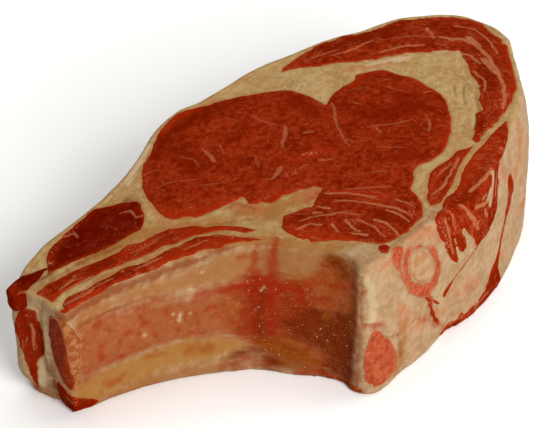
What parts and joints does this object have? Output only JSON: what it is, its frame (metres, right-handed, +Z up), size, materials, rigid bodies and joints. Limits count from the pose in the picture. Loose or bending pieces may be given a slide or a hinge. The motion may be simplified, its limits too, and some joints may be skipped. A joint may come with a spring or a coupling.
{
  "type": "raw beef rib roast",
  "caption": "Thick bone-in beef rib roast, raw, lying on a cut face: marbled lean muscles set in creamy fat, a curved rib under its membrane and a sawn chine side.",
  "frame": {"origin": "under the middle of the roast, level with the cut face that it lies on", "axes": "+X from the rib tail to the outer fat cap, +Y from the hollow rib wall to the fat-covered back, +Z up"},
  "size_m": [0.3101, 0.1475, 0.0692],
  "materials": {
    "lean": "moist raw lean, fine grained",
    "dark_lean": "moist, drier and darker raw lean",
    "fat": "cream fat, satin",
    "bone": "sawn bone with red marrow",
    "gristle": "pale gristle, satin"
  },
  "bodies": {
    "root": {"fat_body": "fat", "eye_muscle": "lean", "inner_eye_muscle": "lean", "chine_muscle": "lean", "cap_muscle": "lean", "flank_muscle_outer": "dark_lean", "flank_muscle_inner": "lean", "rib_muscle_upper": "lean", "rib_muscle_lower": "lean", "back_muscle_inner": "lean", "back_muscle_outer": "lean", "cap_strip_inner": "lean", "cap_strip_outer": "lean", "foot_muscle": "lean", "tail_flap": "dark_lean", "rib_bone": "bone", "chine_bone": "bone", "arch_bone": "bone", "arch_core": "gristle"}
  },
  "joints": []
}
